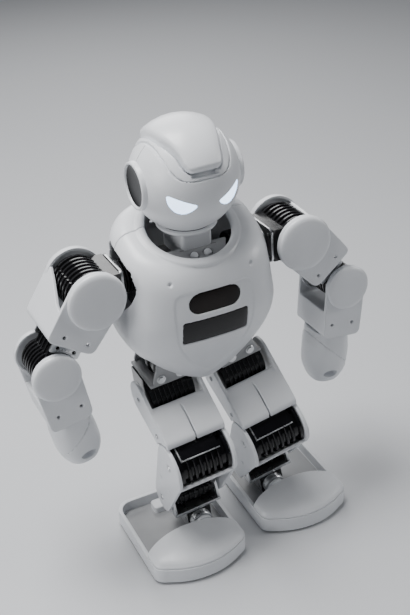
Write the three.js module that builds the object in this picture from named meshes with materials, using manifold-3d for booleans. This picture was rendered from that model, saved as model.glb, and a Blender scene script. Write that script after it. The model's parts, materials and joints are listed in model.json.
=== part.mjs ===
// A humanoid robot kit: white shells over black servos, sixteen servo joints, two collar buttons and
// a power switch. Millimetres, +Z up. The robot faces -Y and its left side is at +X.
// Every limb is a chain of nested groups, so each joint is one group's rotation.
import * as THREE from "three";
import { mergeVertices } from "three/addons/utils/BufferGeometryUtils.js";
import Module from "manifold-3d";

const wasm = await Module();
wasm.setup();

// ---- driving dimensions ----
const GAP = 0.35; // air between two touching pieces
const WALL = 2.6; // moulded shells

// torso
const TORSO_LEVELS = [
  // [z, half width, front y, back y]
  [157, 7, -28.5, -16],
  [163, 21, -31.5, -8],
  [172, 36, -35.5, 12],
  [183, 50, -40, 28],
  [195, 59.5, -44.5, 36],
  [208, 64.3, -48.3, 40],
  [220, 65.2, -50, 41.5],
  [230, 63.6, -50, 41.5],
  [240, 62.4, -49.5, 41.5],
  [256, 61, -47, 41],
  [268, 59.5, -43.5, 39.5],
  [280, 58.5, -39, 38],
  [290, 57.5, -34, 35],
  [300, 53, -26, 29],
];
const TORSO_POWER = 2.7; // how square the torso's plan is: 2 is an ellipse
const TOP = { y: -36, z: 270, slope: 20 }; // the torso's top is a plane that rises to the rear
const SPLIT_Y = 4; // where the chest shell meets the back shell
const COLLAR = { radius: 33, y: -4 };
const HIP_CUT_Z = 187; // behind the bib, the shells end here and the hip servos hang out
const BIB_BACK_Y = -25.2;
const SIDE_HOLE = 25.2; // the round opening that each shoulder bracket turns in
const WINDOW = { width: 42, height: 16, z: 240 };
const PANEL = { width: 54, height: 19.2, z: 216.3 };
const BUTTON_PLATE = { y: -24, z: 267.8, slope: 22, front: 16, back: 24, half: 8, thick: 1.2 };
const BUTTON = { x: 5.6, y: -1.3, radius: 3, rim: 3.9, high: 3 };
const SWITCH = { x: 20.3, z: 208.3, width: 5.4, height: 3.6, travel: 3.2 };
const SHELF_Z = 202; // the chassis shelf under the battery and the board
const DECK_Z = 253; // the chassis deck under the neck

// head
const HEAD_RADIUS = 41.6;
const HEAD_Y = -1.3;
const HEAD_Z = 323.4;
const CROWN_RISE = 4;
const EAR = { radius: 18, face: 41.2, inner: 34, dish: 3.4, rim: 2.4 };
const NECK = { top: 285, ring: 22, half: 12.5, front: -16, back: 14 };

// arms
const SHOULDER_Y = -4;
const SHOULDER_Z = 253.7;
const SHOULDER_X = 86.6; // the roll axis
const UPPER_ARM = 66.2; // shoulder roll axis to elbow axis
const DRUM = { radius: 19, length: 44 }; // shoulder servo
const ELBOW_DRUM = { radius: 15, length: 38 };
const SHOULDER_DISC = 22.2;
const ELBOW_DISC = 18.5;
const PLATE = 3; // side plates of the limbs
const UPPER_DROP = 41; // shoulder roll axis to the upper arm shell's lower edge
const FORE_DROP = 46; // elbow axis to the forearm shell's lower edge
const CUP_TOP = -22; // below this the forearm shell closes into a cup
const HAND_TIP = 95; // elbow axis to finger tips
const BRACKET = { face: -23, thick: 1.9, halfY: 19, halfZ: 14.5, horn: 9 };
const PITCH_SERVO = { from: 32, radius: 13.5, tail: 26 };

// legs
const HIP_X = 30.8;
const HIP_ROLL_Z = 175;
const HIP_PITCH_Z = 143;
const HIP_Y = -11;
const THIGH = 60;
const SHIN = 64;
const ANKLE_Z = 49;
const ANKLE_ROLL_Z = 22;
const LEG_HALF = 25.7; // half the width over the leg's side plates
const HIP_ROLL = { radius: 12.5, front: -11.1, back: 24 };
const CHEEK = 2; // the hip bracket's plates
const HIP_DRUM = { radius: 15.5, length: 38 };
const KNEE_DRUM = { radius: 17, length: 44 };
const ANKLE_DRUM = { radius: 12.5, length: 37 };
const KNEE_DISC = 20;
const ANKLE_DISC = 13;
const YOKE = 2.2;

// feet
const FOOT = { inner: 27.6, outer: 56.3, front: 60, back: 43, bulge: 14, rim: 16, corner: 12 };
const TRAY = { wall: 3.2, floor: 6 };
const SOLE = 2;
const TOE = { back: -22, top: 28, centre: -12, halfWidth: 42, halfLength: 48 };

// the pose it is modelled in: [right, left], degrees
const POSE = {
  armPitch: [-3, -4.4],
  armRoll: [33.5, 38.3],
  elbow: [44.9, 45.8],
  ankleY: [-27, -16.5],
  legLean: [-4.9, 10.3],
};

// ---- materials ----
const material = (color, roughness, metalness = 0) => ({ color, roughness, metalness });
const WHITE = material(0xd9dce0, 0.42);
const BLACK = material(0x0c0d0f, 0.28);
const DARK = material(0x1d1e20, 0.5);
const METAL = material(0x9a9da1, 0.3, 0.9);
const GREY = material(0x8d9094, 0.5);
const GLOW = material(0xcfe2ff, 0.2);
const BOARD = material(0x12331f, 0.6);
const RUBBER = material(0x222324, 0.85);

const radians = THREE.MathUtils.degToRad;

// ---- solids ----
function solid(geometry) {
  const bare = geometry.clone();
  bare.deleteAttribute("normal");
  bare.deleteAttribute("uv");
  const merged = mergeVertices(bare, 1e-4);
  return new wasm.Manifold(
    new wasm.Mesh({
      numProp: 3,
      vertProperties: merged.attributes.position.array,
      triVerts: new Uint32Array(merged.index.array),
    }),
  );
}

const join = (...pieces) => pieces.reduce((whole, piece) => whole.add(piece));
const cut = (piece, ...tools) => tools.reduce((left, tool) => left.subtract(tool), piece);

// a box between two corners
function box(x0, x1, y0, y1, z0, z1) {
  const g = new THREE.BoxGeometry(x1 - x0, y1 - y0, z1 - z0);
  return solid(g.translate((x0 + x1) / 2, (y0 + y1) / 2, (z0 + z1) / 2));
}

// a round bar along an axis between two stations; across holds its other two coordinates
function bar(axis, from, to, radius, across, sides = 18) {
  const g = new THREE.CylinderGeometry(radius, radius, to - from, sides);
  const middle = (from + to) / 2;
  if (axis === "x") return solid(g.rotateZ(Math.PI / 2).translate(middle, across[0], across[1]));
  if (axis === "y") return solid(g.translate(across[0], middle, across[1]));
  return solid(g.rotateX(Math.PI / 2).translate(across[0], across[1], middle));
}

// an outline in the front view (x right, z up), extruded from y = from to y = to
function frontPlate(shape, from, to, curve = 6) {
  const g = new THREE.ExtrudeGeometry(shape, {
    depth: to - from,
    bevelEnabled: false,
    curveSegments: curve,
  });
  return solid(g.rotateX(Math.PI / 2).translate(0, to, 0));
}

// an outline in the side view (first coordinate y, second z), extruded from x = from to x = to
function sidePlate(shape, from, to, curve = 6) {
  const g = new THREE.ExtrudeGeometry(shape, {
    depth: to - from,
    bevelEnabled: false,
    curveSegments: curve,
  });
  return solid(g.rotateX(Math.PI / 2).rotateZ(Math.PI / 2).translate(from, 0, 0));
}

// an outline seen from above, extruded from z = from to z = to
function slab(shape, from, to, curve = 6) {
  const g = new THREE.ExtrudeGeometry(shape, {
    depth: to - from,
    bevelEnabled: false,
    curveSegments: curve,
  });
  return solid(g.translate(0, 0, from));
}

function polygon(points) {
  return new THREE.Shape(points.map(([x, y]) => new THREE.Vector2(x, y)));
}

function roundedRectangle(x0, x1, y0, y1, r) {
  const s = new THREE.Shape();
  s.moveTo(x0 + r, y0);
  s.lineTo(x1 - r, y0);
  s.absarc(x1 - r, y0 + r, r, -Math.PI / 2, 0);
  s.lineTo(x1, y1 - r);
  s.absarc(x1 - r, y1 - r, r, 0, Math.PI / 2);
  s.lineTo(x0 + r, y1);
  s.absarc(x0 + r, y1 - r, r, Math.PI / 2, Math.PI);
  s.lineTo(x0, y0 + r);
  s.absarc(x0 + r, y0 + r, r, Math.PI, Math.PI * 1.5);
  return s;
}

// two round ends joined by straight sides: a link seen from the side, drop being the distance
function link(topRadius, drop, bottomRadius) {
  const lean = Math.asin((topRadius - bottomRadius) / drop);
  const s = new THREE.Shape();
  s.absarc(0, 0, topRadius, -lean, Math.PI + lean);
  s.absarc(0, -drop, bottomRadius, Math.PI + lean, Math.PI * 2 - lean);
  return s;
}

// a body of rounded-rectangle plans, one at each level [z, half width, front y, back y], inset inwards
function loft(levels, power, sides, inset = 0) {
  const rows = levels.length - 1;
  const g = new THREE.CylinderGeometry(1, 1, 1, sides, rows);
  const p = g.attributes.position;
  const bend = (c) => Math.sign(c) * Math.pow(Math.abs(c), 2 / power);
  for (let i = 0; i < p.count; i++) {
    const row = Math.round((p.getY(i) + 0.5) * rows);
    const [z, half, front, back] = levels[row];
    const onAxis = Math.hypot(p.getX(i), p.getZ(i)) < 0.5;
    const middle = (front + back) / 2;
    const depth = (back - front) / 2 - inset;
    const lift = row === 0 ? inset : row === rows ? -inset : 0;
    const x = onAxis ? 0 : bend(p.getX(i)) * (half - inset);
    const y = onAxis ? middle : middle - bend(p.getZ(i)) * depth;
    p.setXYZ(i, x, y, z + lift);
  }
  return solid(g);
}

// ---- scene graph ----
const robot = new THREE.Group();
const SIDES = [
  { name: "right", out: -1, at: 0 },
  { name: "left", out: 1, at: 1 },
];

function place(group, name, piece, look) {
  const made = piece.getMesh();
  const g = new THREE.BufferGeometry();
  g.setAttribute("position", new THREE.BufferAttribute(made.vertProperties, 3));
  g.setIndex(new THREE.BufferAttribute(made.triVerts, 1));
  g.computeVertexNormals();
  const mesh = new THREE.Mesh(g, new THREE.MeshStandardMaterial(look));
  mesh.name = name;
  group.add(mesh);
  return mesh;
}

function turned(parent, x, y, z, rotateX, rotateY) {
  const group = new THREE.Group();
  group.position.set(x, y, z);
  group.rotation.set(rotateX, rotateY, 0);
  parent.add(group);
  return group;
}

// ---- torso ----
function stadium(width, height, z, grow) {
  const w = width / 2 + grow;
  const h = height / 2 + grow;
  return roundedRectangle(-w, w, z - h, z + h, h * 0.9);
}

function panelOutline(grow) {
  const w = PANEL.width / 2 + grow;
  const h = PANEL.height / 2 + grow;
  return roundedRectangle(-w, w, PANEL.z - h, PANEL.z + h, 2);
}

// everything above the torso's sloping top plane, lifted by an amount
function aboveTop(lift) {
  const g = new THREE.BoxGeometry(200, 200, 80).translate(0, 0, 40);
  return solid(g.rotateX(radians(TOP.slope)).translate(0, TOP.y, TOP.z + lift));
}

function torsoSkin() {
  const outer = cut(loft(TORSO_LEVELS, TORSO_POWER, 24), aboveTop(0));
  const inner = cut(loft(TORSO_LEVELS, TORSO_POWER, 24, WALL), aboveTop(-WALL));
  return cut(
    outer,
    inner,
    bar("z", 250, 320, COLLAR.radius, [0, COLLAR.y], 26),
    box(-80, 80, BIB_BACK_Y, 60, 140, HIP_CUT_Z),
    bar("x", -80, 80, SIDE_HOLE, [SHOULDER_Y, SHOULDER_Z], 24),
  );
}

// the part of a shell that an outline in the front view takes in
const chestZone = (outline) => frontPlate(outline, -60, -20);

function makeShells(body) {
  const skin = torsoSkin();
  const front = skin.intersect(box(-80, 80, -60, SPLIT_Y - GAP / 2, 100, 320));
  const back = skin.intersect(box(-80, 80, SPLIT_Y + GAP / 2, 60, 100, 320));
  const windowHole = chestZone(stadium(WINDOW.width, WINDOW.height, WINDOW.z, GAP));
  const panelHole = chestZone(panelOutline(GAP));
  const low = SWITCH.z - SWITCH.height / 2;
  const high = SWITCH.z + SWITCH.height / 2;
  const left = SWITCH.x - SWITCH.width / 2;
  const right = SWITCH.x + SWITCH.width / 2;
  const slot = box(left - GAP, right + SWITCH.travel + GAP, 30, 60, low - GAP, high + GAP);
  place(body, "chest_shell", cut(front, windowHole, panelHole), WHITE);
  place(body, "back_shell", cut(back, slot), WHITE);
  const window = front.intersect(chestZone(stadium(WINDOW.width, WINDOW.height, WINDOW.z, 0)));
  place(body, "chest_window", window, DARK);
  place(body, "chest_panel", front.intersect(chestZone(panelOutline(0))), BLACK);
  place(body, "power_switch", box(left, right, 34, 42.5, low, high), BLACK);
}

function makeInsides(body) {
  const spine = box(-31, 31, 4, 7, SHELF_Z, DECK_Z + 2.6);
  const tail = box(-16, 16, 4, 7, 168, SHELF_Z + 2);
  const shelf = box(-31, 31, -20, 26, SHELF_Z, SHELF_Z + 2.5);
  const deck = box(-18, 18, -16, 22, DECK_Z, DECK_Z + 2.6);
  place(body, "chassis", join(spine, tail, shelf, deck), GREY);
  const floor = SHELF_Z + 4;
  place(body, "battery_pack", box(-27, 27, 8, 30, floor, floor + 44), BLACK);
  const board = box(-28, 28, -12, -10.4, floor, floor + 44);
  const processor = box(-12, 6, -14.5, -11, floor + 16, floor + 30);
  place(body, "control_board", join(board, processor), BOARD);
}

function makeTorso(body) {
  makeShells(body);
  makeInsides(body);
}

function makeCollar(body) {
  const { front, back, half, thick } = BUTTON_PLATE;
  const collar = turned(body, 0, BUTTON_PLATE.y, BUTTON_PLATE.z, radians(BUTTON_PLATE.slope), 0);
  const holes = SIDES.map((side) => {
    return bar("z", -5, 5, BUTTON.radius + 0.5, [side.out * BUTTON.x, BUTTON.y], 12);
  });
  const outline = polygon([
    [-front, -half],
    [front, -half],
    [back, half],
    [-back, half],
  ]);
  place(collar, "collar_panel", cut(slab(outline, -thick, thick), ...holes), GREY);
  for (const side of SIDES) {
    const at = [side.out * BUTTON.x, BUTTON.y];
    const button = join(
      bar("z", -1.8, BUTTON.high, BUTTON.radius, at, 12),
      bar("z", -2.6, -1.6, BUTTON.rim, at, 12),
    );
    place(collar, side.name + "_button", button, WHITE);
  }
}

// ---- head: its shapes are centred on the middle of the ball ----
function headBall(radius, centreY = 0, centreZ = 0) {
  const g = new THREE.SphereGeometry(radius, 24, 12).rotateX(Math.PI / 2);
  return solid(g.translate(0, centreY, centreZ));
}

// the crown's outline in the front view: a flat-bottomed V over the brow
function crownOutline() {
  const half = HEAD_RADIUS + CROWN_RISE + 2;
  return polygon([
    [-half, 27],
    [-27, 24],
    [-8, 13],
    [8, 13],
    [27, 24],
    [half, 27],
    [half, 60],
    [-half, 60],
  ]);
}

// one eye's outline in the front view: a wing, high at the outside and pointed at the nose
function eyeOutline(out, grow) {
  const points = [
    [8 - grow * 3, -8],
    [28.5 + grow, 2 + grow],
    [26 + grow, -7 - grow],
    [17, -12.5 - grow],
  ].map(([x, z]) => [x * out, z]);
  return polygon(out > 0 ? points : points.reverse());
}

const eyeZone = (out, grow) => frontPlate(eyeOutline(out, grow), -60, -8);
const sorted = (a, b) => [Math.min(a, b), Math.max(a, b)];

function makeEar(head, side) {
  const [from, to] = sorted(side.out * EAR.inner, side.out * EAR.face);
  const [dishFrom, dishTo] = sorted(side.out * (EAR.face - EAR.dish), side.out * 60);
  const ear = cut(
    bar("x", from, to, EAR.radius, [0, 0], 20),
    bar("x", dishFrom, dishTo, EAR.radius - EAR.rim, [0, 0], 20),
  );
  place(head, side.name + "_ear", ear, WHITE);
}

function makeHead(body) {
  const head = turned(body, 0, HEAD_Y, HEAD_Z, 0, 0);
  const earHoles = SIDES.map((side) => {
    const [from, to] = sorted(side.out * (EAR.inner - GAP), side.out * 60);
    return bar("x", from, to, EAR.radius + GAP, [0, 0], 20);
  });
  const ball = cut(headBall(HEAD_RADIUS), headBall(HEAD_RADIUS - WALL), ...earHoles);
  const face = ball.intersect(box(-60, 60, -60, -GAP / 2, -60, 60));
  const back = ball.intersect(box(-60, 60, GAP / 2, 60, -60, 60));
  const cap = cut(headBall(HEAD_RADIUS + CROWN_RISE), headBall(HEAD_RADIUS + GAP), ...earHoles);
  place(head, "head_face", cut(face, ...SIDES.map((side) => eyeZone(side.out, GAP))), WHITE);
  place(head, "head_back", back, WHITE);
  place(head, "head_crown", cap.intersect(frontPlate(crownOutline(), -60, 34)), WHITE);
  for (const side of SIDES) {
    makeEar(head, side);
    place(head, side.name + "_eye", face.intersect(eyeZone(side.out, 0)), GLOW);
  }
  const post = box(-NECK.half, NECK.half, NECK.front, NECK.back, DECK_Z + 3, NECK.top - 5);
  const ring = bar("z", NECK.top - 6, NECK.top, NECK.ring, [0, HEAD_Y], 24);
  const room = headBall(HEAD_RADIUS + GAP, HEAD_Y, HEAD_Z);
  place(body, "neck_block", cut(join(post, ring), room), DARK);
}

// ---- arms ----
// a servo: a round drum along an axis with a square-ended body beside it
function armServo(drum, middle, tail) {
  const from = middle - drum.length / 2;
  const to = middle + drum.length / 2;
  return join(bar("y", from, to, drum.radius, [0, 0]), tail);
}

// the front and rear plates of a limb shell with the wall that joins them on the outer side
function limbShell(out, disc, drum, drop, half, wallTop) {
  const outline = new THREE.Shape();
  outline.absarc(0, 0, disc, 0, Math.PI);
  outline.lineTo(-half, -drop);
  outline.lineTo(half, -drop);
  const reach = drum.length / 2;
  const front = frontPlate(outline, -reach - GAP - PLATE, -reach - GAP);
  const rear = frontPlate(outline, reach + GAP, reach + GAP + PLATE);
  const [from, to] = sorted(out * (disc - PLATE), out * disc);
  const wall = box(from, to, -reach - PLATE, reach + PLATE, -drop, wallTop);
  return join(front, rear, wall);
}

// a round cap: a flat rim that rises to a shallow dome
function discCap(radius, high, sides) {
  const profile = [
    [0, 0],
    [radius, 0],
    [radius, high * 0.4],
    [radius * 0.82, high * 0.8],
    [radius * 0.5, high],
    [0, high],
  ].map(([r, h]) => new THREE.Vector2(r, h));
  return new THREE.LatheGeometry(profile, sides).rotateX(Math.PI);
}

function makeShoulder(body, side) {
  const { name, out, at } = side;
  const hornFace = SHOULDER_X + BRACKET.face - BRACKET.thick * 2;
  const [from, to] = sorted(out * PITCH_SERVO.from, out * (hornFace - GAP));
  const [tailFrom, tailTo] = sorted(out * PITCH_SERVO.from, out * (PITCH_SERVO.from + 18));
  const pitchServo = join(
    bar("x", from, to, PITCH_SERVO.radius, [SHOULDER_Y, SHOULDER_Z]),
    box(tailFrom, tailTo, SHOULDER_Y - 12, SHOULDER_Y + 8, SHOULDER_Z - PITCH_SERVO.tail, SHOULDER_Z),
  );
  place(body, name + "_shoulder_pitch_servo", pitchServo, BLACK);

  // the bracket and the roll servo turn about X
  const pitch = radians(POSE.armPitch[at]);
  const shoulder = turned(body, out * SHOULDER_X, SHOULDER_Y, SHOULDER_Z, pitch, 0);
  const { face, thick, halfY, halfZ } = BRACKET;
  const [plateFrom, plateTo] = sorted(out * face, out * (face - thick));
  const [hornFrom, hornTo] = sorted(out * (face - thick + 0.1), out * (face - thick * 2));
  const bracket = join(
    box(plateFrom, plateTo, -halfY, halfY, -halfZ, halfZ),
    bar("x", hornFrom, hornTo, BRACKET.horn, [0, 0], 20),
  );
  place(shoulder, name + "_shoulder_bracket", bracket, METAL);
  const [bodyFrom, bodyTo] = sorted(out * (face + GAP), 0);
  const tail = box(bodyFrom, bodyTo, -halfY, halfY, 1 - halfZ, halfZ - 1);
  place(shoulder, name + "_shoulder_servo", armServo(DRUM, 0, tail), BLACK);
  return shoulder;
}

function makeUpperArm(shoulder, side) {
  const { name, out, at } = side;
  const upper = turned(shoulder, 0, 0, 0, 0, -out * radians(POSE.armRoll[at]));
  const reach = DRUM.length / 2;
  const shell = limbShell(out, SHOULDER_DISC, DRUM, UPPER_DROP, 18, -2);
  const [from, to] = sorted(-out * 17, out * (SHOULDER_DISC - 0.7));
  const floor = box(from, to, -reach - 1, reach + 1, -UPPER_DROP, -UPPER_DROP + WALL);
  place(upper, name + "_upper_arm_shell", join(shell, floor), WHITE);
  const cap = discCap(SHOULDER_DISC + 0.5, 5, 20).translate(0, -reach - GAP * 2 - PLATE, 0);
  place(upper, name + "_shoulder_cap", solid(cap), WHITE);
  const elbowZ = -UPPER_ARM;
  const end = ELBOW_DRUM.length / 2;
  const servo = join(
    bar("y", -end, end, ELBOW_DRUM.radius, [0, elbowZ]),
    box(-13, 13, -end + 3, end - 3, elbowZ, -UPPER_DROP - GAP),
  );
  place(upper, name + "_elbow_servo", servo, BLACK);
  return upper;
}

function makeForearm(upper, side) {
  const { name, out, at } = side;
  const forearm = turned(upper, 0, 0, -UPPER_ARM, 0, out * radians(POSE.elbow[at]));
  const half = ELBOW_DRUM.length / 2 + GAP + PLATE;
  const shell = limbShell(out, ELBOW_DISC, ELBOW_DRUM, FORE_DROP, 15, CUP_TOP);
  const [from, to] = sorted(-out * 16, out * ELBOW_DISC);
  const cup = box(from, to, -half, half, -FORE_DROP, CUP_TOP);
  place(forearm, name + "_forearm_shell", join(shell, cup), WHITE);
  const cap = discCap(ELBOW_DISC + 0.5, 4.6, 18).translate(0, -half - GAP, 0);
  place(forearm, name + "_elbow_cap", solid(cap), WHITE);
  const handLevels = [
    [-HAND_TIP, 8, -9, 8],
    [-HAND_TIP + 6, 14, -15, 13],
    [-HAND_TIP + 18, 18, -19, 18],
    [-HAND_TIP + 34, 18, -20, 20],
    [-FORE_DROP - GAP, 15, -19, 20],
  ];
  place(forearm, name + "_hand", loft(handLevels, 2.6, 16), WHITE);
}

function makeArm(body, side) {
  makeForearm(makeUpperArm(makeShoulder(body, side), side), side);
}

// ---- legs ----
// the angles that put the ankle where it stands: [hip flexion, knee, ankle], in radians
function legAngles(ankleY, lean) {
  const blocks = HIP_ROLL_Z - HIP_PITCH_Z + ANKLE_Z - ANKLE_ROLL_Z;
  const down = (HIP_ROLL_Z - ANKLE_ROLL_Z) / Math.cos(lean) - blocks;
  const back = ankleY - HIP_Y;
  const reach = Math.hypot(down, back);
  const aim = Math.atan2(back, down);
  const hipInner = Math.acos((THIGH ** 2 + reach ** 2 - SHIN ** 2) / (2 * THIGH * reach));
  const kneeInner = Math.acos((THIGH ** 2 + SHIN ** 2 - reach ** 2) / (2 * THIGH * SHIN));
  const hip = hipInner - aim;
  const knee = Math.PI - kneeInner;
  return [hip, knee, knee - hip];
}

function footOutline(out, inset) {
  const inner = -out * (FOOT.inner - inset);
  const outer = out * (FOOT.outer - inset);
  const x0 = Math.min(inner, outer);
  const x1 = Math.max(inner, outer);
  const front = -FOOT.front + FOOT.bulge + inset;
  const back = FOOT.back - inset;
  const r = FOOT.corner - inset / 2;
  const s = new THREE.Shape();
  s.moveTo(x0, front + 4);
  s.quadraticCurveTo(x0 + 1, front - 2, x0 + 9, front - 5);
  s.quadraticCurveTo((x0 + x1) / 2, front - 2 * FOOT.bulge + 5, x1 - 9, front - 5);
  s.quadraticCurveTo(x1 - 1, front - 2, x1, front + 4);
  s.lineTo(x1, back - r);
  s.absarc(x1 - r, back - r, r, 0, Math.PI / 2);
  s.lineTo(x0 + r, back);
  s.absarc(x0 + r, back - r, r, Math.PI / 2, Math.PI);
  return s;
}

function makeHip(body, side) {
  const { name, out, at } = side;
  const servoFront = HIP_Y + HIP_ROLL.front;
  const servoBack = HIP_Y + HIP_ROLL.back;
  const middle = out * HIP_X;
  const rollServo = join(
    bar("y", servoFront, servoBack, HIP_ROLL.radius, [middle, HIP_ROLL_Z]),
    box(middle - 9, middle + 9, HIP_Y - 4, HIP_Y + 16, HIP_ROLL_Z, SHELF_Z - 3),
  );
  place(body, name + "_hip_roll_servo", rollServo, BLACK);

  // the hip block turns about Y
  const lean = radians(POSE.legLean[at]);
  const hip = turned(body, middle, HIP_Y, HIP_ROLL_Z, 0, -out * lean);
  const drop = HIP_PITCH_Z - HIP_ROLL_Z;
  const bridgeZ = drop + HIP_DRUM.radius + 1.1;
  const cheek = new THREE.Shape();
  cheek.absarc(0, 0, 11, 0, Math.PI);
  cheek.lineTo(-15, bridgeZ + 0.4);
  cheek.lineTo(15, bridgeZ + 0.4);
  const front = HIP_ROLL.front - GAP;
  const rear = HIP_ROLL.back + GAP;
  const bracket = join(
    frontPlate(cheek, front - CHEEK, front),
    frontPlate(cheek, rear, rear + CHEEK),
    box(-18, 18, front - CHEEK, rear + CHEEK, bridgeZ, bridgeZ + 2.6),
  );
  place(hip, name + "_hip_bracket", bracket, GREY);
  const half = HIP_DRUM.length / 2;
  const pitchServo = join(
    bar("x", -half, half, HIP_DRUM.radius, [0, drop]),
    box(-half, half, 0, 25, drop - 6, bridgeZ - 0.6),
  );
  place(hip, name + "_hip_pitch_servo", pitchServo, BLACK);
  return hip;
}

function makeThigh(hip, side, flexion) {
  const { name } = side;
  const thigh = turned(hip, 0, 0, HIP_PITCH_Z - HIP_ROLL_Z, -flexion, 0);
  const plate = new THREE.Shape();
  plate.absarc(0, 0, 16, 0, Math.PI * 0.9);
  plate.lineTo(-18, -15);
  plate.lineTo(-22, -46);
  plate.lineTo(2, -40);
  const pillowOutline = polygon([
    [-8, -12.5],
    [-9, -48],
    [-18, -49.5],
    [-22.5, -47],
    [-21.5, -34],
    [-18, -18],
    [-14.5, -14],
  ]);
  const shell = join(
    sidePlate(pillowOutline, -LEG_HALF + 1, LEG_HALF - 1),
    sidePlate(plate, -LEG_HALF, -LEG_HALF + PLATE),
    sidePlate(plate, LEG_HALF - PLATE, LEG_HALF),
  );
  const kneeRoom = bar("x", -40, 40, KNEE_DISC + 1.6, [0, -THIGH], 26);
  const hipRoom = bar("x", -22, 22, HIP_DRUM.radius + 1.2, [0, 0], 24);
  place(thigh, name + "_thigh_cover", cut(shell, kneeRoom, hipRoom), WHITE);
  const half = KNEE_DRUM.length / 2;
  const servo = join(
    bar("x", -half, half, KNEE_DRUM.radius, [0, -THIGH]),
    box(-half, half, -7.5, 13, -THIGH, -20),
  );
  place(thigh, name + "_knee_servo", servo, BLACK);
  return thigh;
}

function makeShin(thigh, side, knee) {
  const { name } = side;
  const shin = turned(thigh, 0, 0, -THIGH, knee, 0);
  const band = new THREE.Shape();
  band.absarc(0, 0, KNEE_DISC + 1, Math.PI * 1.03, Math.PI * 1.42);
  band.absarc(0, 0, KNEE_DRUM.radius + 1, Math.PI * 1.42, Math.PI * 1.03, true);
  const plate = link(KNEE_DISC, SHIN, ANKLE_DISC);
  const shell = join(
    sidePlate(plate, -LEG_HALF, -LEG_HALF + PLATE),
    sidePlate(plate, LEG_HALF - PLATE, LEG_HALF),
    sidePlate(band, -LEG_HALF + 1, LEG_HALF - 1),
  );
  place(shin, name + "_shin_shell", shell, WHITE);
  const half = ANKLE_DRUM.length / 2;
  const servo = join(
    bar("x", -half, half, ANKLE_DRUM.radius, [0, -SHIN]),
    box(-half, half, -9, 12, -SHIN, -23),
  );
  place(shin, name + "_ankle_servo", servo, BLACK);
  return shin;
}

function makeAnkle(shin, side, ankle) {
  const { name } = side;
  const block = turned(shin, 0, 0, -SHIN, -ankle, 0);
  const arm = new THREE.Shape();
  arm.absarc(0, 0, 10, 0, Math.PI);
  arm.lineTo(-14, -15);
  arm.lineTo(14, -15);
  const inner = ANKLE_DRUM.length / 2 + GAP;
  const rollDrop = ANKLE_ROLL_Z - ANKLE_Z;
  const yoke = join(
    sidePlate(arm, -inner - YOKE, -inner),
    sidePlate(arm, inner, inner + YOKE),
    box(-inner - YOKE, inner + YOKE, -14, 14, -15.6, -13.2),
  );
  const footServo = join(
    bar("y", -19, 19, 9.5, [0, rollDrop]),
    box(-11, 11, -13, 19, rollDrop - 8, -15),
  );
  place(block, name + "_ankle_block", join(yoke, footServo), METAL);
  return block;
}

function makeFoot(block, side) {
  const { name, out, at } = side;
  const lean = radians(POSE.legLean[at]);
  const foot = turned(block, 0, 0, ANKLE_ROLL_Z - ANKLE_Z, 0, out * lean);
  const ground = -ANKLE_ROLL_Z;
  const rim = ground + FOOT.rim;
  const tray = cut(
    slab(footOutline(out, 0), ground + SOLE + GAP, rim),
    slab(footOutline(out, TRAY.wall), ground + TRAY.floor, rim + 40),
  );
  const lug = new THREE.Shape();
  lug.absarc(0, 0, 8, 0, Math.PI);
  lug.lineTo(-10, ground + TRAY.floor - 1);
  lug.lineTo(10, ground + TRAY.floor - 1);
  const lugs = join(frontPlate(lug, -22, -19.6), frontPlate(lug, 19.6, 22));
  place(foot, name + "_foot_shell", join(tray, lugs), WHITE);
  place(foot, name + "_sole", slab(footOutline(out, 2), ground, ground + SOLE), RUBBER);
  const middle = (out * (FOOT.outer - FOOT.inner)) / 2;
  const ball = new THREE.SphereGeometry(1, 22, 12).scale(TOE.halfWidth, TOE.halfLength, 1);
  ball.scale(1, 1, TOE.top - FOOT.rim).translate(middle, TOE.centre, rim);
  const dome = solid(ball).intersect(slab(footOutline(out, 0.8), rim + GAP, rim + 40));
  const lip = slab(footOutline(out, TRAY.wall + 0.4), rim - 5, rim + 1.5);
  const behind = box(-100, 100, TOE.back, 100, -60, 60);
  place(foot, name + "_toe_cover", cut(join(dome, lip), behind), WHITE);
}

function makeLeg(body, side) {
  const lean = radians(POSE.legLean[side.at]);
  const [flexion, knee, ankle] = legAngles(POSE.ankleY[side.at], lean);
  const thigh = makeThigh(makeHip(body, side), side, flexion);
  makeFoot(makeAnkle(makeShin(thigh, side, knee), side, ankle), side);
}

// ---- the robot, centred over its footprint ----
const torso = new THREE.Group();
robot.add(torso);
makeTorso(torso);
makeCollar(torso);
makeHead(torso);
SIDES.forEach((side) => {
  makeArm(torso, side);
  makeLeg(torso, side);
});

robot.updateMatrixWorld(true);
const extent = new THREE.Box3().setFromObject(robot, true);
const centre = extent.getCenter(new THREE.Vector3());
torso.position.set(-centre.x, -centre.y, -extent.min.z);

export default robot;
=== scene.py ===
"""Looks for the humanoid robot kit: every shell, servo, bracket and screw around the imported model.

Pieces are modelled in millimetres in the frame of the limb that they belong to, then placed by
that limb's joints, so nothing here is fitted by eye.
"""

import json
import math

import bmesh
import bpy
import numpy as np
from mathutils import Matrix, Vector


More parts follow.
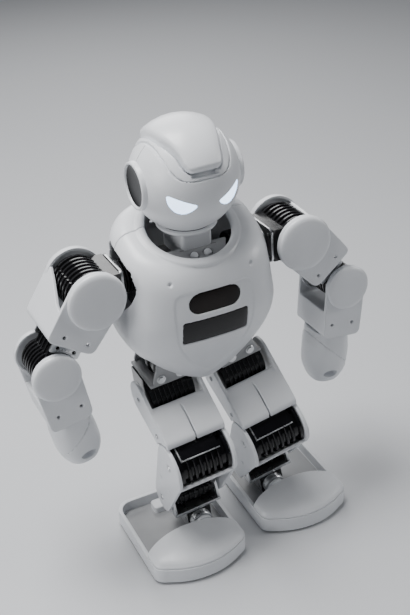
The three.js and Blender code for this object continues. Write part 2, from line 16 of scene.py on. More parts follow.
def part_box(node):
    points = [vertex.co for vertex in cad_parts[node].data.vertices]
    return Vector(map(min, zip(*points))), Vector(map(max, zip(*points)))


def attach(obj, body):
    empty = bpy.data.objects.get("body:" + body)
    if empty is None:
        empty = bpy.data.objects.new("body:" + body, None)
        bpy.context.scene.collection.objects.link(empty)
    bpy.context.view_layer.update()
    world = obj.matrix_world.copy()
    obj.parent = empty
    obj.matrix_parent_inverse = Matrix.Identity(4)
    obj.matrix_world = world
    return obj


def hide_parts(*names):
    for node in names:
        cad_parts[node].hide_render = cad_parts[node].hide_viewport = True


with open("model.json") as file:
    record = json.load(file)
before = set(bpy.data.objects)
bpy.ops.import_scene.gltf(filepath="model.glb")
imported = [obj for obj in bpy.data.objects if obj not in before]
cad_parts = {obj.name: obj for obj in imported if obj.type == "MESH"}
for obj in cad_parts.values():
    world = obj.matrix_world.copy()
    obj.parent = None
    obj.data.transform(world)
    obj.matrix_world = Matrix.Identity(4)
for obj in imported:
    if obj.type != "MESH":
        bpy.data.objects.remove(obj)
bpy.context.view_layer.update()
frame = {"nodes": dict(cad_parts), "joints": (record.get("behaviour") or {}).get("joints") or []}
JOINTS = {j["name"]: j for j in frame["joints"]}
MM = 0.001
SIDES = (("right", -1), ("left", 1))

# ---- sizes, in millimetres ----
TORSO_LEVELS = [  # z, half width, front y, back y
    (157, 7, -28.5, -16),
    (163, 21, -31.5, -8),
    (172, 36, -35.5, 12),
    (183, 49, -40, 27),
    (195, 58.5, -44.5, 35),
    (208, 63.8, -48.2, 39.5),
    (220, 65, -50, 41),
    (232, 63.6, -50.2, 41.3),
    (244, 62.2, -49.8, 41.3),
    (256, 61, -49, 41),
    (266, 59.6, -47.6, 40.2),
    (273, 57.2, -45.4, 38.4),
    (278, 53.4, -42, 35.2),
    (281, 48, -37, 30.4),
    (281.6, 42, -32, 26),
]
TORSO_POWER = 2.7
TOP_SLOPE = math.radians(20)  # the torso's top rises to the rear
COLLAR_Y = -4
COLLAR_Z = 281.6
COLLAR_RADIUS = 33
SPLIT_Y = 4
HIP_CUT_Z = 187
BIB_BACK_Y = -25.2
COLLAR_PLATE = (-24, 267.8)  # y, z of the plate with the buttons
COLLAR_PLATE_SLOPE = math.radians(22)
BUTTON = (5.6, -1.3)  # from the plate's middle
CHEST_SCREW = (33.2, 259)
SHOULDER = (-4, 253.7)
SHOULDER_X = 86.6
BRACKET_FACE = -23  # from the shoulder roll axis, towards the body
BRACKET_THICK = 1.9
PITCH_SERVO = (32, 13.5)  # where it starts, radius
WINDOW = (21, 8, 240)  # half width, half height, z
PANEL = (27, 9.6, 216.3)
HEAD = (0, -1.3, 323.4)
HEAD_RADIUS = 41.6
DRUM = (19, 22)  # radius, half length of the shoulder servo
SHOULDER_DISC = 22.2
ELBOW_DRUM = (15, 19)
ELBOW_DISC = 18.5
UPPER_ARM = 66.2
UPPER_DROP = 41
FORE_DROP = 46
CUP_TOP = -21.5  # below this the forearm shell is closed
HOLE_DROP = -34  # screw holes in the arm shells
HOLE_RADIUS = 1.5
HAND_TIP = 95
PLATE = 3
GAP = 0.35
HIP_DROP = -32
HIP_FRONT = -13.4
HIP_REAR = 26.3
CHEEK = 2
HIP_ROLL_SERVO = (12.5, -11.1, 24)  # radius, front and rear from the hip roll axis
HIP_DRUM = (15.5, 19)
KNEE_DRUM = (17, 22)
ANKLE_DRUM = (12.5, 18.5)
ANKLE_DISC = 13
YOKE = (18.85, 2.2)  # inner face, thickness
THIGH = 60
SHIN = 64
LEG_HALF = 25.7
KNEE_DISC = 20
ANKLE_DROP = -27
GROUND = -22  # below the ankle roll axis
FOOT = {"inner": 27.6, "outer": 56.3, "front": 60, "back": 43, "bulge": 14, "rim": 16, "corner": 12}
SOLE = 2


# ---- frames: where each limb is, from its joints ----
def joint_at(name):
    return Vector(JOINTS[name]["pos_m"])


def joint_axis(name):
    return Vector(JOINTS[name]["axis"]).normalized()


def axes_frame(origin, x, y, z):
    """A matrix that takes millimetres in a limb's own frame to metres in the row's frame."""
    m = Matrix.Identity(4)
    for column, axis in enumerate((x, y, z)):
        for row in range(3):
            m[row][column] = axis[row] * MM
    for row in range(3):
        m[row][3] = origin[row]
    return m


def y_hinged(origin, y, down):
    z = -(down - down.dot(y) * y).normalized()
    return axes_frame(origin, y.cross(z), y, z)


def x_hinged(origin, x, down):
    z = -(down - down.dot(x) * x).normalized()
    return axes_frame(origin, x, z.cross(x), z)


def all_frames():
    x, y, z = Vector((1, 0, 0)), Vector((0, 1, 0)), Vector((0, 0, 1))
    middle = (joint_at("right_hip_roll") + joint_at("left_hip_roll")) / 2
    front = joint_at("right_shoulder_pitch").y - SHOULDER[0] * MM
    frames = {"torso": axes_frame(Vector((middle.x, front, 0)), x, y, z)}
    for side, _ in SIDES:
        shoulder = joint_at(side + "_shoulder_roll")
        roll = joint_axis(side + "_shoulder_roll")
        elbow = joint_at(side + "_elbow")
        hand = frame["nodes"][side + "_hand"].data.vertices
        middle = sum((v.co for v in hand), Vector()) / len(hand)
        hip, pitch = joint_at(side + "_hip_roll"), joint_at(side + "_hip_pitch")
        knee, ankle = joint_at(side + "_knee"), joint_at(side + "_ankle_pitch")
        foot = joint_at(side + "_ankle_roll")
        leg = joint_axis(side + "_knee")
        frames[side + "_shoulder"] = axes_frame(shoulder, x, roll, x.cross(roll))
        frames[side + "_upper_arm"] = y_hinged(shoulder, roll, elbow - shoulder)
        frames[side + "_forearm"] = y_hinged(elbow, roll, middle - elbow)
        frames[side + "_hip"] = y_hinged(hip, y, pitch - hip)
        frames[side + "_thigh"] = x_hinged(pitch, leg, knee - pitch)
        frames[side + "_shin"] = x_hinged(knee, leg, ankle - knee)
        frames[side + "_ankle"] = x_hinged(ankle, leg, foot - ankle)
        frames[side + "_foot"] = axes_frame(foot, x, y, z)
    return frames


FRAMES = all_frames()


# ---- solids: each is (vertices, faces) in millimetres ----
def shifted(solid, x=0, y=0, z=0):
    return [(a + x, b + y, c + z) for a, b, c in solid[0]], solid[1]


def turned(solid, axis, degrees):
    turn = Matrix.Rotation(math.radians(degrees), 3, axis)
    return [tuple(turn @ Vector(v)) for v in solid[0]], solid[1]


def merged(*solids):
    verts, faces = [], []
    for v, f in solids:
        start = len(verts)
        verts += v
        faces += [[i + start for i in face] for face in f]
    return verts, faces


def along(axis, across, up, station):
    """A point from its place across the axis and its station on it."""
    if axis == "x":
        return station, across, up
    if axis == "y":
        return across, station, up
    return across, up, station


def lathe(profile, axis="y", at=(0, 0), segments=64, closed=False):
    """A profile of (radius, station) turned round an axis; a closed one makes a ring."""
    verts, faces, rings = [], [], []
    for radius, station in profile:
        if radius < 1e-6:
            rings.append([len(verts)])
            verts.append(along(axis, at[0], at[1], station))
            continue
        rings.append(list(range(len(verts), len(verts) + segments)))
        for k in range(segments):
            t = math.tau * k / segments
            across, up = at[0] + radius * math.cos(t), at[1] + radius * math.sin(t)
            verts.append(along(axis, across, up, station))
    pairs = list(zip(rings, rings[1:])) + ([(rings[-1], rings[0])] if closed else [])
    for a, b in pairs:
        for k in range(segments):
            n = (k + 1) % segments
            corners = [a[k % len(a)], a[n % len(a)], b[n % len(b)], b[k % len(b)]]
            faces.append(list(dict.fromkeys(corners)))
    return verts, [f for f in faces if len(f) > 2]


def bar(axis, start, end, radius, at=(0, 0), bevel=0.4, segments=48):
    lip = min(bevel, radius / 3, abs(end - start) / 3)
    step = lip if end > start else -lip
    profile = [(0, start), (radius - lip, start), (radius, start + step)]
    profile += [(radius, end - step), (radius - lip, end), (0, end)]
    return lathe(profile, axis, at, segments)


def prism(outline, axis, start, end):
    n = len(outline)
    verts = [along(axis, a, b, start) for a, b in outline]
    verts += [along(axis, a, b, end) for a, b in outline]
    faces = [list(range(n))[::-1], list(range(n, 2 * n))]
    faces += [[k, (k + 1) % n, n + (k + 1) % n, n + k] for k in range(n)]
    return verts, faces


def block(x0, x1, y0, y1, z0, z1):
    return prism([(x0, y0), (x1, y0), (x1, y1), (x0, y1)], "z", z0, z1)


def arc(cx, cy, radius, start, end, steps=10):
    """Points on an arc, its angles in degrees."""
    turns = [math.radians(start + (end - start) * k / steps) for k in range(steps + 1)]
    return [(cx + radius * math.cos(t), cy + radius * math.sin(t)) for t in turns]


def rounded(corners, radius, steps=5):
    """A polygon's outline with its corners rounded."""
    points, n = [], len(corners)
    for k in range(n):
        a, b, c = (Vector(corners[(k + s) % n]) for s in (-1, 0, 1))
        reach = min(radius, (a - b).length / 2.2, (c - b).length / 2.2)
        p, q = b + (a - b).normalized() * reach, b + (c - b).normalized() * reach
        for s in range(steps + 1):
            t = s / steps
            points.append(tuple(p * (1 - t) ** 2 + b * 2 * t * (1 - t) + q * t * t))
    return points


def rectangle(x0, x1, z0, z1, radius):
    return rounded([(x0, z0), (x1, z0), (x1, z1), (x0, z1)], radius)


def grown(corners, centre, by):
    """Corners moved out from a centre."""
    return [tuple(Vector(c) + (Vector(c) - centre).normalized() * by) for c in corners]


def tube_faces(sides, rows):
    """Faces between rows of points, with both ends closed."""
    faces = []
    for k in range(rows - 1):
        for s in range(sides):
            n = (s + 1) % sides
            faces.append([k * sides + s, k * sides + n, (k + 1) * sides + n, (k + 1) * sides + s])
    return faces + [list(range(sides))[::-1], list(range((rows - 1) * sides, rows * sides))]


def sided(outline, out):
    return [(x * out, y) for x, y in outline]


def spline_rows(rows, count):
    """Rows of numbers resampled on a smooth curve through them."""
    data = np.array(rows, float)
    found = []
    for t in np.linspace(0, len(rows) - 1, count):
        i = min(int(t), len(rows) - 2)
        u = t - i
        p0, p1, p2, p3 = (data[min(max(i + s, 0), len(rows) - 1)] for s in (-1, 0, 1, 2))
        a, b = 2 * p1, p2 - p0
        c, d = 2 * p0 - 5 * p1 + 4 * p2 - p3, 3 * p1 - p0 - 3 * p2 + p3
        found.append((a + b * u + c * u * u + d * u ** 3) / 2)
    return found


def loft(levels, power, sides=72, rows=40, inset=0.0, lift=None):
    """A closed body through rounded-rectangle plans (z, half width, front y, back y)."""
    verts = []
    smooth = spline_rows(levels, rows)
    for k, (z, half, front, back) in enumerate(smooth):
        middle, depth = (front + back) / 2, (back - front) / 2 - inset
        rise = inset if k == 0 else -inset if k == len(smooth) - 1 else 0
        for s in range(sides):
            t = math.tau * s / sides
            c, d = math.cos(t), math.sin(t)
            x = math.copysign(abs(c) ** (2 / power), c) * max(half - inset, 0.5)
            y = middle + math.copysign(abs(d) ** (2 / power), d) * max(depth, 0.5)
            verts.append((x, y, z + rise + (lift(y, z) if lift else 0)))
    return verts, tube_faces(sides, rows)


def ball(radius, at=(0, 0, 0), segments=64, squash=(1, 1, 1)):
    steps = segments // 2
    profile = [(radius * math.sin(math.pi * k / steps), -radius * math.cos(math.pi * k / steps))
               for k in range(steps + 1)]
    profile[0], profile[-1] = (0, -radius), (0, radius)
    verts, faces = lathe(profile, "z", (0, 0), segments)
    return [(x * squash[0] + at[0], y * squash[1] + at[1], z * squash[2] + at[2])
            for x, y, z in verts], faces


# ---- objects ----
def raw(name, solid):
    mesh = bpy.data.meshes.new(name)
    mesh.from_pydata(solid[0], [], solid[1])
    bm = bmesh.new()
    bm.from_mesh(mesh)
    bmesh.ops.remove_doubles(bm, verts=bm.verts, dist=1e-4)
    bmesh.ops.recalc_face_normals(bm, faces=bm.faces)
    bm.to_mesh(mesh)
    bm.free()
    obj = bpy.data.objects.new(name, mesh)
    bpy.context.scene.collection.objects.link(obj)
    return obj


def bake(obj):
    """Applies an object's modifiers."""
    bpy.context.view_layer.update()
    graph = bpy.context.evaluated_depsgraph_get()
    mesh = bpy.data.meshes.new_from_object(obj.evaluated_get(graph), depsgraph=graph)
    old = obj.data
    obj.modifiers.clear()
    obj.data = mesh
    bpy.data.meshes.remove(old)


def apply_tool(obj, tool, operation="DIFFERENCE"):
    """Joins or cuts an object with another, which is then removed."""
    modifier = obj.modifiers.new("combine", "BOOLEAN")
    modifier.operation = operation
    modifier.solver = "EXACT"
    modifier.object = tool
    bake(obj)
    mesh = tool.data
    bpy.data.objects.remove(tool)
    bpy.data.meshes.remove(mesh)


def combine(obj, operation, *solids):
    for solid in solids:
        apply_tool(obj, raw("tool", solid), operation)


def cut_out(obj, *solids):
    combine(obj, "DIFFERENCE", *solids)


def modelled(name, solids, cuts=(), keep=()):
    """Solids joined, trimmed to what is kept, then cut."""
    obj = raw(name, solids[0])
    combine(obj, "UNION", *solids[1:])
    combine(obj, "INTERSECT", *keep)
    cut_out(obj, *cuts)
    return obj


def softened(obj, voxel=0.6, rounds=4, share=0.4):
    """A moulded look: the joined solids skinned evenly, with every edge rounded."""
    remesh = obj.modifiers.new("skin", "REMESH")
    remesh.mode = "VOXEL"
    remesh.voxel_size = voxel
    smooth = obj.modifiers.new("smooth", "SMOOTH")
    smooth.factor = 0.5
    smooth.iterations = rounds
    if share < 1:
        fewer = obj.modifiers.new("fewer", "DECIMATE")
        fewer.ratio = share
    bake(obj)
    return obj


def bevelled(obj, width=0.5, segments=2, angle=35):
    bevel = obj.modifiers.new("bevel", "BEVEL")
    bevel.width = width
    bevel.segments = segments
    bevel.limit_method = "ANGLE"
    bevel.angle_limit = math.radians(angle)
    bake(obj)
    return obj


def finished(obj, where, slot, replaces=(), body=None, sharp=None):
    """Puts a piece in its limb's frame, gives it its finish and ties it to its body."""
    obj.data.transform(FRAMES[where])
    obj.data.materials.clear()
    obj.data.materials.append(FINISH[slot])
    for face in obj.data.polygons:
        face.use_smooth = True
    if sharp:
        obj.data.set_sharp_from_angle(angle=math.radians(sharp))
    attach(obj, body or where)
    if replaces:
        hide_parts(*replaces)
    return obj


# ---- materials, one for each slot of the record ----
FINISH = {}


def socket(node, name, value):
    node.inputs[name].default_value = value


def surface(name, color, rough, metallic=0.0, grain=0.1, grain_scale=1500, mottle=0.05,
            coat=0.0, scuff=0.06, shine=0.5):
    """A moulded or metal surface: mottled colour, uneven gloss and a fine grain."""
    material = bpy.data.materials.new(name)
    material.use_nodes = True
    nodes, links = material.node_tree.nodes, material.node_tree.links
    shader = nodes["Principled BSDF"]
    socket(shader, "Metallic", metallic)
    socket(shader, "Specular IOR Level", shine)
    socket(shader, "Coat Weight", coat)
    socket(shader, "Coat Roughness", 0.12)
    where = nodes.new("ShaderNodeTexCoord")

    def noise(scale, detail=3):
        node = nodes.new("ShaderNodeTexNoise")
        socket(node, "Scale", scale)
        socket(node, "Detail", detail)
        links.new(where.outputs["Object"], node.inputs["Vector"])
        return node.outputs["Fac"]

    tone = nodes.new("ShaderNodeValToRGB")
    dark = [c * (1 - mottle) for c in color]
    light = [min(1, c * (1 + mottle)) for c in color]
    for stop, place, shade in zip(tone.color_ramp.elements, (0.3, 0.7), (dark, light)):
        stop.position = place
        stop.color = (*shade, 1)
    links.new(noise(45), tone.inputs["Fac"])
    links.new(tone.outputs["Color"], shader.inputs["Base Color"])
    gloss = nodes.new("ShaderNodeMapRange")
    socket(gloss, "From Min", 0.3)
    socket(gloss, "From Max", 0.7)
    socket(gloss, "To Min", max(0.03, rough - scuff))
    socket(gloss, "To Max", rough + scuff)
    links.new(noise(160, 5), gloss.inputs["Value"])
    links.new(gloss.outputs["Result"], shader.inputs["Roughness"])
    bump = nodes.new("ShaderNodeBump")
    socket(bump, "Strength", grain)
    socket(bump, "Distance", 0.0002)
    links.new(noise(grain_scale, 2), bump.inputs["Height"])
    links.new(bump.outputs["Normal"], shader.inputs["Normal"])
    FINISH[name] = material
    return material


def glowing(name, color, strength):
    material = surface(name, color, 0.25)
    nodes, links = material.node_tree.nodes, material.node_tree.links
    shader = nodes["Principled BSDF"]
    ramp = nodes["Color Ramp"]
    links.new(ramp.outputs["Color"], shader.inputs["Emission Color"])
    socket(shader, "Emission Strength", strength)
    return material


surface("white_shell", (0.74, 0.755, 0.78), 0.36, grain=0.16, mottle=0.02, coat=0.08)
surface("black_servo", (0.012, 0.012, 0.013), 0.2, grain=0.1, mottle=0.3, coat=0.25)
surface("gloss_black", (0.004, 0.004, 0.005), 0.14, grain=0.03, mottle=0.3, shine=0.32)
surface("dark_window", (0.010, 0.007, 0.006), 0.2, grain=0.03, mottle=0.3, shine=0.25)
surface("dark_plastic", (0.05, 0.05, 0.053), 0.5, grain=0.3, mottle=0.15)
surface("grey_plastic", (0.33, 0.335, 0.345), 0.38, grain=0.25, mottle=0.06)
surface("steel", (0.62, 0.63, 0.64), 0.3, metallic=1.0, grain=0.2, grain_scale=700)
surface("circuit_board", (0.02, 0.1, 0.045), 0.45, grain=0.4, grain_scale=400, mottle=0.3)
glowing("eye_light", (0.6, 0.76, 1.0), 3.2)
surface("rubber", (0.025, 0.025, 0.026), 0.75, grain=0.6, grain_scale=900)


# ---- screws and small things that repeat ----
def hex_bolt(x, z, y, radius=3.2, high=2):
    """A hex bolt head on a front face, with its washer."""
    head = [(radius * math.cos(math.radians(a)), radius * math.sin(math.radians(a)))
            for a in range(0, 360, 60)]
    body = prism([(x + a, z + b) for a, b in head], "y", y - high, y + 0.5)
    washer = bar("y", y - 0.7, y + 0.4, radius + 1.1, (x, z), 0.2, 32)
    return merged(body, washer)


def socket_screw(axis, at, station, outward, radius=2.2):
    """A round screw head that stands proud of a face, dished in the middle."""
    rise = 1.3 * outward
    profile = [(0, station + rise * 0.25), (radius * 0.42, station + rise * 0.25)]
    profile += [(radius * 0.5, station + rise * 0.9), (radius * 0.85, station + rise)]
    profile += [(radius, station + rise * 0.6), (radius, station - rise * 0.3)]
    profile += [(0, station - rise * 0.3)]
    return lathe(profile, axis, at, 28)


def finned(radius, half, at=(0, 0), axis="y", fins=7, valley=2.2):
    """A servo drum with cooling fins round its middle."""
    start, end = -half + 3, half - 3
    pitch = (end - start) / fins
    low = radius - valley
    profile = [(0, -half), (low - 1, -half), (low, -half + 0.6), (low, start)]
    for k in range(fins):
        a = start + k * pitch + pitch * 0.25
        b = a + pitch * 0.42
        profile += [(low, a), (radius - 0.3, a + 0.15), (radius, a + 0.4)]
        profile += [(radius, b - 0.4), (radius - 0.3, b - 0.15), (low, b)]
    profile += [(low, end), (low, half - 0.6), (low - 1, half), (0, half)]
    return lathe(profile, axis, at, 72)


# ---- torso ----
def rise(y, z):
    """How far the sloping top lifts a point of the torso."""
    t = min(max((z - 215) / 60, 0), 1)
    return t * t * (3 - 2 * t) * (y - COLLAR_Y) * math.tan(TOP_SLOPE)


def torso_body(inset):
    """The torso's outer surface, or one set in from it; the nearly flat top moves down as well."""
    levels = [(z - inset * min(max((z - 258) / 20, 0), 1) * (z < COLLAR_Z), *rest)
              for z, *rest in TORSO_LEVELS]
    return loft(levels, TORSO_POWER, 96, 56, inset, rise)


def shield(grow=0.0):
    """The recess on the chest, in the front view."""
    corners = [(-32.6, 251), (-33.6, 228), (-31, 205), (-20, 185), (0, 163)]
    corners += [(-x, z) for x, z in corners[-2::-1]]
    return rounded(grown(corners, Vector((0, 215)), grow), 9)


def stadium(grow=0.0):
    half, high, z = WINDOW
    h = high + grow
    right = arc(half - high, z, h, -90, 90)
    return right + arc(high - half, z, h, 90, 270)


def panel(grow=0.0):
    half, high, z = PANEL
    return rectangle(-half - grow, half + grow, z - high - grow, z + high + grow, 2)


def chest_prism(outline):
    return prism(outline, "y", -70, -20)


def side_opening(out):
    """The shoulder opening in the side view: y, z. It leaves a strap over the shoulder."""
    y, z = SHOULDER
    low = arc(y, z, 24.6, 178, 362, 24)
    outline = low + [(22, 266), (14, 275.5), (-6, 271), (-21, 265)]
    return prism(outline, "x", *sorted((out * 47, out * 90)))


def collar_ring():
    """The lip round the neck opening, in the slope of the torso's top."""
    profile = [(COLLAR_RADIUS, -6), (COLLAR_RADIUS, 0.4), (34.2, 1.4), (36, 1.7), (39.4, 0.9)]
    profile += [(40.4, -0.4), (40.6, -6)]
    ring = turned(lathe(profile, "z", (0, 0), 96, closed=True), "X", math.degrees(TOP_SLOPE))
    return shifted(ring, 0, COLLAR_Y, COLLAR_Z)


def collar_hole():
    hole = turned(bar("z", -40, 40, COLLAR_RADIUS - 0.1, segments=96), "X", 12)
    return shifted(hole, 0, COLLAR_Y, COLLAR_Z)


def skin(name, front):
    """The chest or back shell before its own details are cut."""
    reach = (-90, SPLIT_Y - 0.2) if front else (SPLIT_Y + 0.2, 90)
    half = block(-90, 90, *reach, 100, 330)
    solids = [torso_body(0), collar_ring()]
    behind_bib = block(-90, 90, BIB_BACK_Y, 90, 120, HIP_CUT_Z)
    cuts = [torso_body(2.6), collar_hole(), behind_bib, side_opening(-1), side_opening(1)]
    return modelled(name, solids, cuts, [half])


def make_chest():
    chest = skin("chest_front", True)
    apply_tool(chest, modelled("floor_of_recess", [chest_prism(shield())], [torso_body(0.8)]))
    cut_out(chest, chest_prism(stadium(0.6)), chest_prism(panel(0.3)))
    x, z = CHEST_SCREW
    cut_out(chest, *[bar("y", -60, -40, HOLE_RADIUS, (out * x, z)) for _, out in SIDES])
    softened(chest, 0.7, 3, 0.35)
    finished(chest, "torso", "white_shell", ["chest_shell"])
    window = modelled("window_lens", [torso_body(1.9)], [torso_body(3.4)], [chest_prism(stadium(0.3))])
    finished(bevelled(window, 0.3), "torso", "dark_window", ["chest_window"], sharp=40)
    screen = modelled("chest_screen", [torso_body(1.1)], [torso_body(3.4)], [chest_prism(panel())])
    finished(bevelled(screen, 0.4), "torso", "gloss_black", ["chest_panel"], sharp=40)


def slots_for_air(x, z, rise, pitch, count, radius, front):
    """Rounded slots in a rear shell, one above the other."""
    return [prism(rectangle(-x, x, base, base + rise, radius), "y", front, 60)
            for base in (z + pitch * k for k in range(count))]


def switch_box():
    """The power switch's knob in the torso's frame: (x0, x1, y0, y1, z0, z1)."""
    to_torso = FRAMES["torso"].inverted()
    low, high = (to_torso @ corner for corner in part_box("power_switch"))
    return low.x, high.x, low.y, high.y, low.z, high.z


def make_back():
    back = skin("back_cover", False)
    hatch = rectangle(-30, 30, 206, 262, 6)
    inner = rectangle(-29.2, 29.2, 206.8, 261.2, 5.4)
    seam = modelled("seam", [prism(hatch, "y", 20, 70)], [prism(inner, "y", 19, 71), torso_body(0.9)])
    apply_tool(back, seam)
    cut_out(back, *slots_for_air(14, 268, 1.6, 3.4, 5, 0.8, 25))
    x0, x1, y0, y1, z0, z1 = switch_box()
    travel = JOINTS["power_switch_slide"]["range_m"][1] / MM
    cut_out(back, block(x0 - 0.5, x1 + travel + 0.5, 20, 70, z0 - 0.5, z1 + 0.5))
    screws = ((-24, 212), (24, 212), (-24, 256), (24, 256), (-50, 200), (50, 200))
    cut_out(back, *[bar("y", 37, 60, 1.6, at) for at in screws])
    softened(back, 0.7, 3, 0.35)
    finished(back, "torso", "white_shell", ["back_shell"])
    ridges = [block(x0 + 0.9 + 1.4 * k, x0 + 1.5 + 1.4 * k, y1 - 1, y1, z0 + 0.2, z1 - 0.2)
              for k in range(3)]
    knob = modelled("switch_knob", [block(x0, x1, y0, y1 - 0.6, z0, z1)] + ridges)
    finished(bevelled(knob, 0.15), "torso", "gloss_black", ["power_switch"], body="power_switch",
             sharp=40)


def make_collar():
    place = Matrix.Translation((0, *COLLAR_PLATE)) @ Matrix.Rotation(COLLAR_PLATE_SLOPE, 4, "X")
    FRAMES["collar"] = FRAMES["torso"] @ place
    outline = rounded([(-17, -8.6), (17, -8.6), (25, 8), (-25, 8)], 2)
    holes = [bar("z", -5, 5, 3.6, (out * BUTTON[0], BUTTON[1])) for _, out in SIDES]
    slot = rectangle(-15, 15, 4.6, 5.6, 0.5)
    plate = modelled("collar_plate", [prism(outline, "z", -1.3, 1.2)], holes + [prism(slot, "z", 0.6, 3)])
    finished(bevelled(plate, 0.45, 3), "collar", "grey_plastic", ["collar_panel"],
             body="torso", sharp=40)
    for side, out in SIDES:
        profile = [(0, -2.5), (3.8, -2.5), (3.8, -1.8), (3.05, -1.6), (3.05, 1.2), (2.7, 2.1)]
        profile += [(1.9, 2.7), (1, 2.95), (0, 3)]
        dome = raw(side + "_button_dome", lathe(profile, "z", (out * BUTTON[0], BUTTON[1]), 40))
        finished(dome, "collar", "white_shell", [side + "_button"], body=side + "_button",
                 sharp=50)


# ---- head ----
CROWN_WIDTH = [(24, 8.6), (26, 10.4), (30, 13), (36, 14.6), (46, 15.9), (58, 18.5), (74, 22),
               (90, 23.4), (108, 23.8), (130, 22.8), (146, 20), (152, 17), (156, 10)]
SEAM_WIDTH = [(17.4, 10), (18.2, 13), (20, 17), (25, 20.8), (36, 24.3), (58, 26.6), (85, 27.8),
              (110, 29.2), (130, 30.2), (150, 29), (162, 22), (165, 8)]


def signed_gap(a, x, table):
    """How far a point of the head, at angle a over the top and x across, is inside an outline."""
    angles = [row[0] for row in table]
    width = np.interp(a, angles, [row[1] for row in table])
    ends = np.minimum(a - angles[0], angles[-1] - a) * math.pi / 180 * HEAD_RADIUS
    return np.minimum(width - np.abs(x), ends)


def smooth_step(value, low, high):
    t = np.clip((value - low) / (high - low), 0, 1)
    return t * t * (3 - 2 * t)


def head_grid(height, columns=420, rows=230):
    """A closed ball whose radius is a formula of the angle over the top and the place across."""
    verts, faces = [], []
    for r in range(rows + 1):
        t = math.pi * r / rows
        x, ring = -math.cos(t), math.sin(t)
        a = np.arange(columns) * 360 / columns
        a = np.where(a > 270, a - 360, a)
        radius = height(a, np.full(columns, x * HEAD_RADIUS))
        turn = np.radians(a)
        rows_of = np.stack([x * radius, -np.cos(turn) * ring * radius, np.sin(turn) * ring * radius], 1)
        verts += [tuple(v) for v in (rows_of if 0 < r < rows else rows_of[:1])]

    def index(r, c):
        return 0 if r == 0 else 1 + (r - 1) * columns + (c % columns if r < rows else 0)

    for r in range(rows):
        for c in range(columns):
            corners = [index(r, c), index(r, c + 1), index(r + 1, c + 1), index(r + 1, c)]
            corners = list(dict.fromkeys(corners))
            if len(corners) > 2:
                faces.append(corners)
    return shifted((verts, faces), *HEAD)


def head_height(a, x):
    moat = smooth_step(signed_gap(a, x, CROWN_WIDTH), -2.6, -1.7)
    seam = 1 - smooth_step(np.abs(signed_gap(a, x, SEAM_WIDTH)), 0.25, 0.95)
    return HEAD_RADIUS - 4.4 * moat - 1.5 * seam


def crown_patch():
    """The raised crown: a plate over the ball with a rounded edge."""
    angles = np.linspace(CROWN_WIDTH[0][0] + 2, CROWN_WIDTH[-1][0] - 2, 90)
    table = np.array(CROWN_WIDTH, float)
    edge = [(1, 36.6), (1, 42.6), (0.985, 44.1), (0.95, 45.1), (0.88, 45.5), (0.6, 45.6), (0.3, 45.6)]
    edge += [(0, 45.6)] + [(-s, r) for s, r in edge[::-1]]
    verts = []
    for a in angles:
        width = float(np.interp(a, table[:, 0], table[:, 1]))
        end = min(a - angles[0], angles[-1] - a)
        drop = 3.2 * (1 - smooth_step(end, -1, 4.5))
        for s, radius in edge:
            r = radius - (drop if radius > 40 else 0)
            x = s * width
            ring = math.sqrt(max(r * r - x * x, 1))
            t = math.radians(a)
            verts.append((x, -math.cos(t) * ring, math.sin(t) * ring))
    return shifted((verts, tube_faces(len(edge), len(angles))), *HEAD)


def eye_outline(out, grow=0.0):
    """A wing-shaped eye in the front view, from the head's middle."""
    corners = [(28.6, 3), (27.4, -5), (23.5, -10.8), (18, -12.9), (12.5, -10.6), (7.8, -6)]
    corners += [(17, -2.6)]
    outline = rounded(grown(corners, Vector((19, -5.5)), grow), 3.2)
    return [(x * out, z + HEAD[2]) for x, z in outline]


def make_head():
    y = HEAD[1]
    skull = head_grid(head_height)
    chin = block(-60, 60, -60, 60, 240, HEAD[2] - 36)
    ears = [bar("x", out * 35, out * 60, 17.2, (y, HEAD[2])) for _, out in SIDES]
    face = modelled("face_mask", [skull], [chin] + ears, [block(-60, 60, -70, y - 0.2, 200, 400)])
    for _, out in SIDES:
        pocket = modelled("pocket", [prism(eye_outline(out, 0.3), "y", -60, y - 8)],
                          [ball(HEAD_RADIUS - 1.3, HEAD, 96)])
        apply_tool(face, pocket)
    finished(face, "torso", "white_shell", ["head_face"], sharp=50)
    rear = modelled("rear_skull", [skull], [chin] + ears, [block(-60, 60, y + 0.2, 70, 200, 400)])
    cut_out(rear, *slots_for_air(9, HEAD[2] - 22, 1.5, 3.2, 4, 0.7, 20))
    finished(rear, "torso", "white_shell", ["head_back"], sharp=50)
    finished(raw("crown_plate", crown_patch()), "torso", "white_shell", ["head_crown"], sharp=60)
    for side, out in SIDES:
        lens = modelled(side + "_eye_lens", [ball(HEAD_RADIUS - 0.5, HEAD, 128)],
                        [ball(HEAD_RADIUS - 2.4, HEAD, 64)], [prism(eye_outline(out), "y", -60, y - 8)])
        finished(lens, "torso", "eye_light", [side + "_eye"], sharp=40)
        make_ear(side, out)
    make_neck()


def make_ear(side, out):
    y, z = HEAD[1], HEAD[2]
    profile = [(0, 34), (18.6, 34), (18.5, 37), (18.1, 40.3), (17.6, 41), (16.9, 41.2), (16.2, 41)]
    profile += [(15.8, 40.2), (15.4, 38.2), (0, 38.2)]
    ring = raw(side + "_ear_ring", lathe([(r, out * h) for r, h in profile], "x", (y, z), 96))
    finished(ring, "torso", "white_shell", [side + "_ear"], sharp=50)
    dish = [(15.3, 38.4), (15.2, 39.6), (14, 39.2), (11, 38.7), (7, 38.45), (3, 38.4), (0, 38.4)]
    bowl = raw(side + "_ear_dish", lathe([(0, out * 38.25)] + [(r, out * h) for r, h in dish], "x",
                                         (y, z), 96))
    finished(bowl, "torso", "gloss_black", sharp=50)


